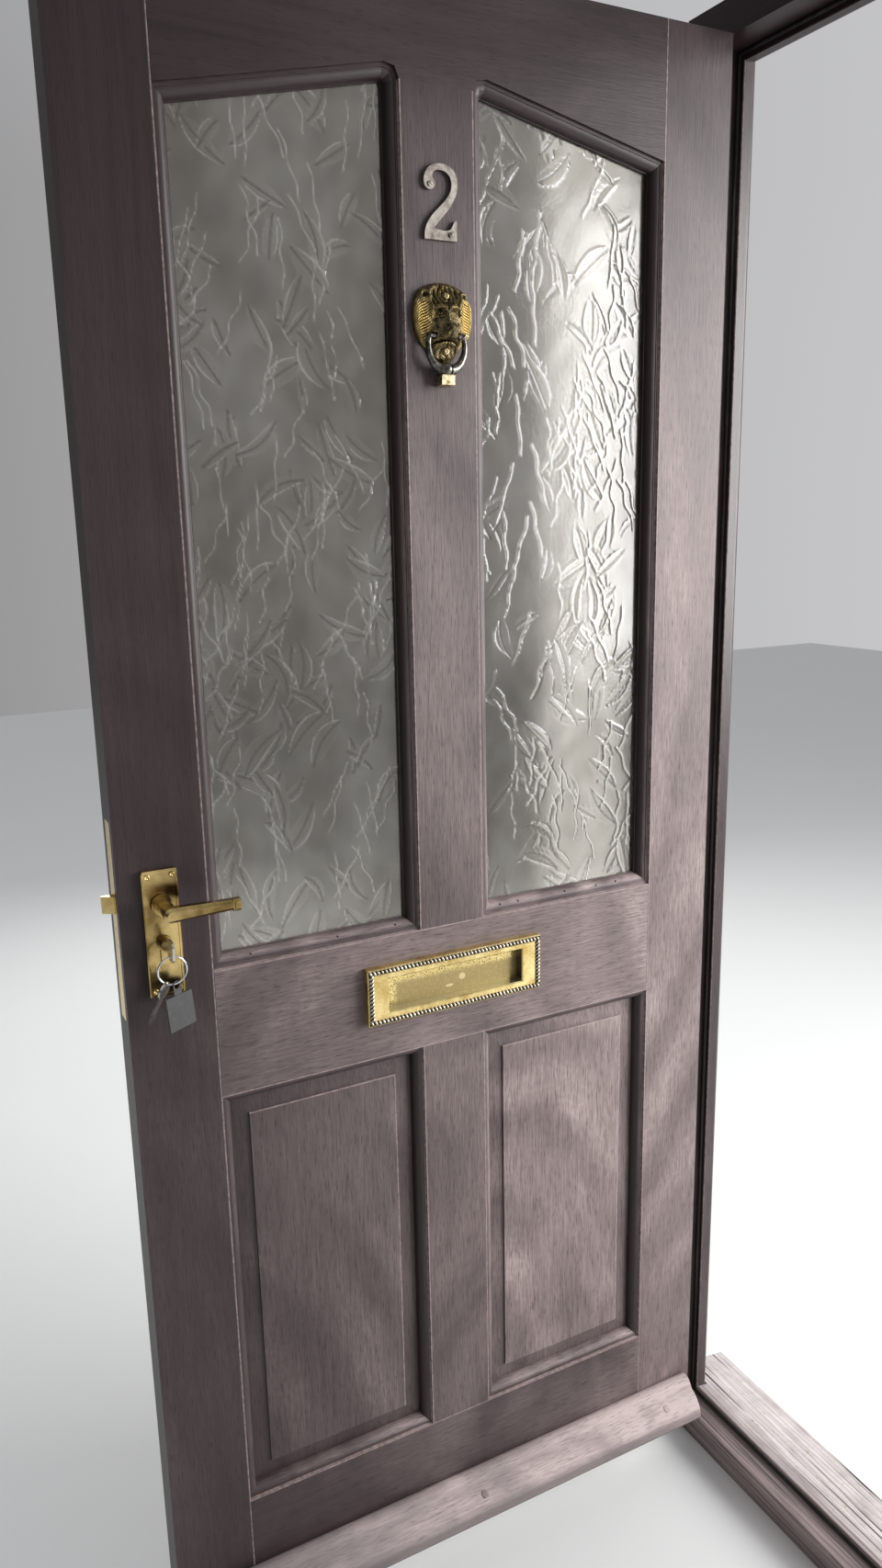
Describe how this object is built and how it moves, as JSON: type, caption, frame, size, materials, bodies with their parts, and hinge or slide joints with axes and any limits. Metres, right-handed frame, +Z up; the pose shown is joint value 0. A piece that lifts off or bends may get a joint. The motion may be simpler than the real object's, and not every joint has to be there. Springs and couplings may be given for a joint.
{
  "type": "panelled front door",
  "caption": "Dark-stained timber front door in its rebated frame and sill: raked obscured glass over raised panels, lion's head knocker, letter plate, lever lock and weatherboard",
  "frame": {"origin": "on the sill's underside, in the middle of the frame's width and depth", "axes": "+X to the hinge side, +Y into the room, +Z up; stored with the leaf open at a right angle into the room"},
  "size_m": [0.9345, 1.013, 2.126],
  "materials": {
    "leaf_wood": "woodstain, semi-gloss, faded in places",
    "bead_wood": "woodstain, semi-gloss",
    "board_wood": "woodstain, weathered",
    "frame_wood": "woodstain, semi-gloss",
    "sill_wood": "woodstain worn back to grey timber",
    "seal_rubber": "black, extruded",
    "obscured_glass": "patterned, translucent",
    "hinge_steel": "dull plated steel",
    "polished_brass": "polished",
    "lock_steel": "zinc plated steel",
    "lever_brass": "aged and pitted",
    "key_nickel": "nickel plated",
    "ring_steel": "bright wire",
    "tag_plastic": "dark, bare",
    "letter_brass": "aged and pitted",
    "knocker_brass": "dark patina, rubbed bright on the high parts",
    "numeral_nickel": "pale tarnish"
  },
  "bodies": {
    "frame": {"hinge_jamb": "frame_wood", "lock_jamb": "frame_wood", "frame_head": "frame_wood", "sill": "sill_wood", "seal_hinge_jamb": "seal_rubber", "seal_lock_jamb": "seal_rubber", "seal_head": "seal_rubber", "seal_sill": "seal_rubber", "keep_plate": "polished_brass", "hinge_frame_leaves": "hinge_steel", "hinge_pins": "hinge_steel"},
    "leaf": {"hinge_stile": "leaf_wood", "lock_stile": "leaf_wood", "top_rail": "leaf_wood", "lock_rail": "leaf_wood", "bottom_rail": "leaf_wood", "upper_muntin": "leaf_wood", "lower_muntin": "leaf_wood", "left_panel": "leaf_wood", "right_panel": "leaf_wood", "left_bead_bottom": "bead_wood", "left_bead_inner": "bead_wood", "left_bead_outer": "bead_wood", "left_bead_top": "bead_wood", "right_bead_bottom": "bead_wood", "right_bead_inner": "bead_wood", "right_bead_outer": "bead_wood", "right_bead_top": "bead_wood", "weatherboard": "board_wood", "left_glass": "obscured_glass", "right_glass": "obscured_glass", "hinge_door_leaves": "hinge_steel", "lock_case": "lock_steel", "lock_forend": "polished_brass", "cylinder_body": "lever_brass", "outer_backplate": "lever_brass", "inner_backplate": "lever_brass", "outer_plate_screws": "lever_brass", "inner_plate_screws": "lever_brass", "letter_plate": "letter_brass", "letter_bolts": "letter_brass", "flap_pin": "letter_brass", "knocker_plate": "knocker_brass", "knocker_screws": "knocker_brass", "numeral": "numeral_nickel", "numeral_screws": "numeral_nickel"},
    "handle": {"outer_lever": "lever_brass", "inner_lever": "lever_brass", "spindle": "lock_steel", "follower": "lock_steel"},
    "latch": {"latch_bolt": "polished_brass"},
    "deadbolt": {"dead_bolt": "polished_brass"},
    "key_and_plug": {"key": "key_nickel", "cylinder_plug": "lever_brass"},
    "key_ring": {"split_ring": "ring_steel"},
    "spare": {"spare_key": "key_nickel"},
    "tag": {"key_tag": "tag_plastic"},
    "striker": {"knocker_striker": "knocker_brass"},
    "flap": {"letter_flap": "letter_brass"}
  },
  "joints": [
    {"name": "leaf_swing", "type": "hinge", "parent": "frame", "child": "leaf", "pos_m": [0.42, 0.041, 1.06], "axis": [0, 0, -1], "range_deg": [-90, 80]},
    {"name": "handle_turn", "type": "hinge", "parent": "leaf", "child": "handle", "pos_m": [0.37, 0.8335, 1.083], "axis": [1, 0, 0], "range_deg": [0, 45], "stiffness_Nm_per_rad": 1, "springref_deg": -34.38},
    {"name": "latch_slide", "type": "slide", "parent": "leaf", "child": "latch", "axis": [0, -1, 0], "range_m": [0, 0.013]},
    {"name": "key_turn", "type": "hinge", "parent": "leaf", "child": "key_and_plug", "pos_m": [0.37, 0.8335, 1.037], "axis": [1, 0, 0], "range_deg": [0, 90]},
    {"name": "deadbolt_slide", "type": "slide", "parent": "leaf", "child": "deadbolt", "axis": [0, 1, 0], "range_m": [0, 0.02]},
    {"name": "ring_swing", "type": "hinge", "parent": "key_and_plug", "child": "key_ring", "pos_m": [0.336, 0.8335, 1.0296], "axis": [0, 1, 0], "range_deg": [-3, 60]},
    {"name": "spare_key_swing", "type": "hinge", "parent": "key_ring", "child": "spare", "pos_m": [0.336, 0.8409, 0.99878], "axis": [0, 0.891, 0.454], "range_deg": [0, 25]},
    {"name": "tag_swing", "type": "hinge", "parent": "key_ring", "child": "tag", "pos_m": [0.336, 0.83011, 0.99736], "axis": [0, 0.9781, -0.2079], "range_deg": [-5, 5]},
    {"name": "striker_swing", "type": "hinge", "parent": "leaf", "child": "striker", "pos_m": [0.357, 0.461, 1.701], "axis": [0, 1, 0], "range_deg": [0, 75]},
    {"name": "flap_swing", "type": "hinge", "parent": "leaf", "child": "flap", "pos_m": [0.3753, 0.461, 0.9415], "axis": [0, -1, 0], "range_deg": [0, 75], "stiffness_Nm_per_rad": 0.04, "springref_deg": -45.84}
  ],
  "couplings": [
    {"joint": "latch_slide", "follows": "handle_turn", "m_per_rad": 0.016551},
    {"joint": "deadbolt_slide", "follows": "key_turn", "m_per_rad": 0.012731}
  ]
}
